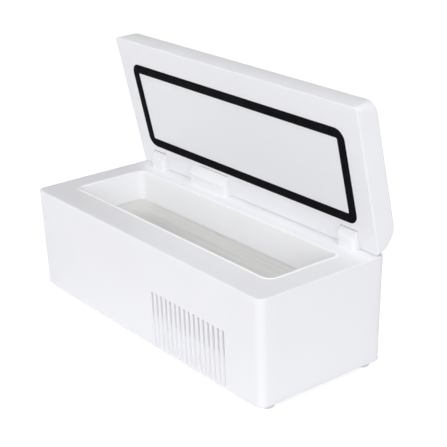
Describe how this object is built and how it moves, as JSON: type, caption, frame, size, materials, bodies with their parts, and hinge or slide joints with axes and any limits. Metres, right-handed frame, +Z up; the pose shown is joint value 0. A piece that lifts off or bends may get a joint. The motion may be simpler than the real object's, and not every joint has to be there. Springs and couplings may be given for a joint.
{
  "type": "insulin cooling case",
  "caption": "White box-shaped portable cooling case with a metal-floored storage well, a rear-hinged lid with a black seal, slotted vents and a fan-cooled thermoelectric unit below.",
  "frame": {"origin": "centre of the bottom cover's flat underside; the feet reach 2.8 mm below it", "axes": "+X to the right along the length, +Y to the back where the hinge is, +Z up; the lid stands open at rest"},
  "size_m": [0.2, 0.0874, 0.1404],
  "materials": {
    "white_plastic": "satin",
    "panel_plastic": "satin",
    "black_rubber": "matte",
    "foot_rubber": "matte",
    "black_plastic": "satin",
    "window_plastic": "gloss",
    "button_plastic": "satin",
    "foam": "matte",
    "aluminium": "satin",
    "steel": "satin",
    "module_ceramic": "matte",
    "circuit_board": "satin",
    "cell_can": "satin",
    "lcd_glass": "gloss"
  },
  "bodies": {
    "base": {"outer_case": "white_plastic", "bottom_cover": "white_plastic", "cover_screw_1": "steel", "cover_screw_2": "steel", "cover_screw_3": "steel", "cover_screw_4": "steel", "foot_1": "foot_rubber", "foot_2": "foot_rubber", "foot_3": "foot_rubber", "foot_4": "foot_rubber", "well_liner": "white_plastic", "cold_plate": "aluminium", "well_insulation": "foam", "temperature_sensor": "black_plastic", "cold_block": "aluminium", "peltier_module": "module_ceramic", "heat_sink": "aluminium", "clamp_screw_1": "steel", "clamp_screw_2": "steel", "fan_frame": "black_plastic", "battery_cell_1": "cell_can", "battery_cell_2": "cell_can", "main_board": "circuit_board", "dc_socket": "black_plastic", "hinge_pin_left": "steel", "hinge_pin_right": "steel"},
    "lid": {"lid_shell": "white_plastic", "lid_panel": "panel_plastic", "lid_gasket": "black_rubber", "lid_insulation": "foam", "display_window": "window_plastic", "lcd_module": "lcd_glass", "control_board": "circuit_board"},
    "fan": {"fan_rotor": "black_plastic"},
    "button_1": {"button_1": "button_plastic"},
    "button_2": {"button_2": "button_plastic"},
    "button_3": {"button_3": "button_plastic"}
  },
  "joints": [
    {"name": "lid_hinge", "type": "hinge", "parent": "base", "child": "lid", "pos_m": [0, 0.0373, 0.0616], "axis": [1, 0, 0], "range_deg": [0, 77.8]},
    {"name": "fan_spin", "type": "hinge", "parent": "base", "child": "fan", "pos_m": [0.0407, 0, 0.0075], "axis": [0, 0, 1], "continuous": true},
    {"name": "button_1_press", "type": "slide", "parent": "lid", "child": "button_1", "axis": [0, -0.9774, -0.2113], "range_m": [0, 0.0007], "stiffness_N_per_m": 300, "springref_m": -0.001},
    {"name": "button_2_press", "type": "slide", "parent": "lid", "child": "button_2", "axis": [0, -0.9774, -0.2113], "range_m": [0, 0.0007], "stiffness_N_per_m": 300, "springref_m": -0.001},
    {"name": "button_3_press", "type": "slide", "parent": "lid", "child": "button_3", "axis": [0, -0.9774, -0.2113], "range_m": [0, 0.0007], "stiffness_N_per_m": 300, "springref_m": -0.001}
  ]
}
